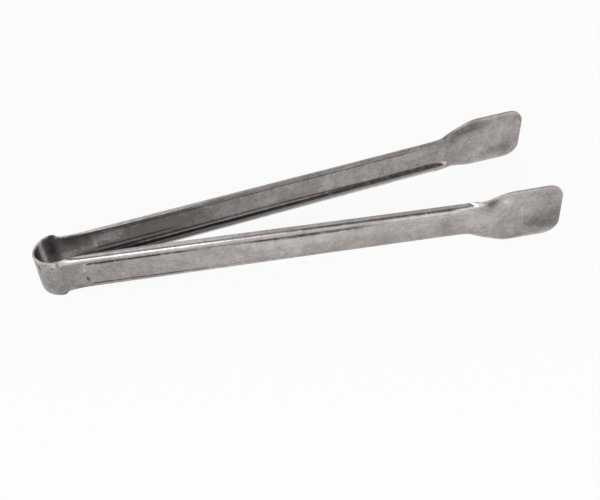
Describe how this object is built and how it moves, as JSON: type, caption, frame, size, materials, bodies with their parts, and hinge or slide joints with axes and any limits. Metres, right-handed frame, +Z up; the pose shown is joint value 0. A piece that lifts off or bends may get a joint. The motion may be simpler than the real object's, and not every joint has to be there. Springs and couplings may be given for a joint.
{
  "type": "serving tongs",
  "caption": "Spring tongs bent from one steel strip: a round bow, flanged and embossed arms, and flat flared paddles that close on food when squeezed.",
  "frame": {"origin": "middle of the overall length, on the plane between the arms, at the height of the paddles' lower edges", "axes": "+X from the bow to the tips, +Y towards the left arm, +Z up along the height of the paddles"},
  "size_m": [0.24, 0.0559, 0.0306],
  "materials": {
    "steel": "worn satin stainless sheet with fine scratches, smudges and grime in the folds"
  },
  "bodies": {
    "spring_bow": {"spring_bow": "steel"},
    "left_arm": {"left_arm": "steel"},
    "right_arm": {"right_arm": "steel"}
  },
  "joints": [
    {"name": "left_flex", "type": "hinge", "parent": "spring_bow", "child": "left_arm", "pos_m": [-0.11683, 0.00643, 0.0153], "axis": [0, 0, -1], "range_deg": [-2, 6.1], "stiffness_Nm_per_rad": 12},
    {"name": "right_flex", "type": "hinge", "parent": "spring_bow", "child": "right_arm", "pos_m": [-0.11683, -0.00643, 0.0153], "axis": [0, 0, 1], "range_deg": [-2, 6.1], "stiffness_Nm_per_rad": 12}
  ],
  "couplings": [
    {"joint": "right_flex", "follows": "left_flex", "ratio": 1}
  ]
}
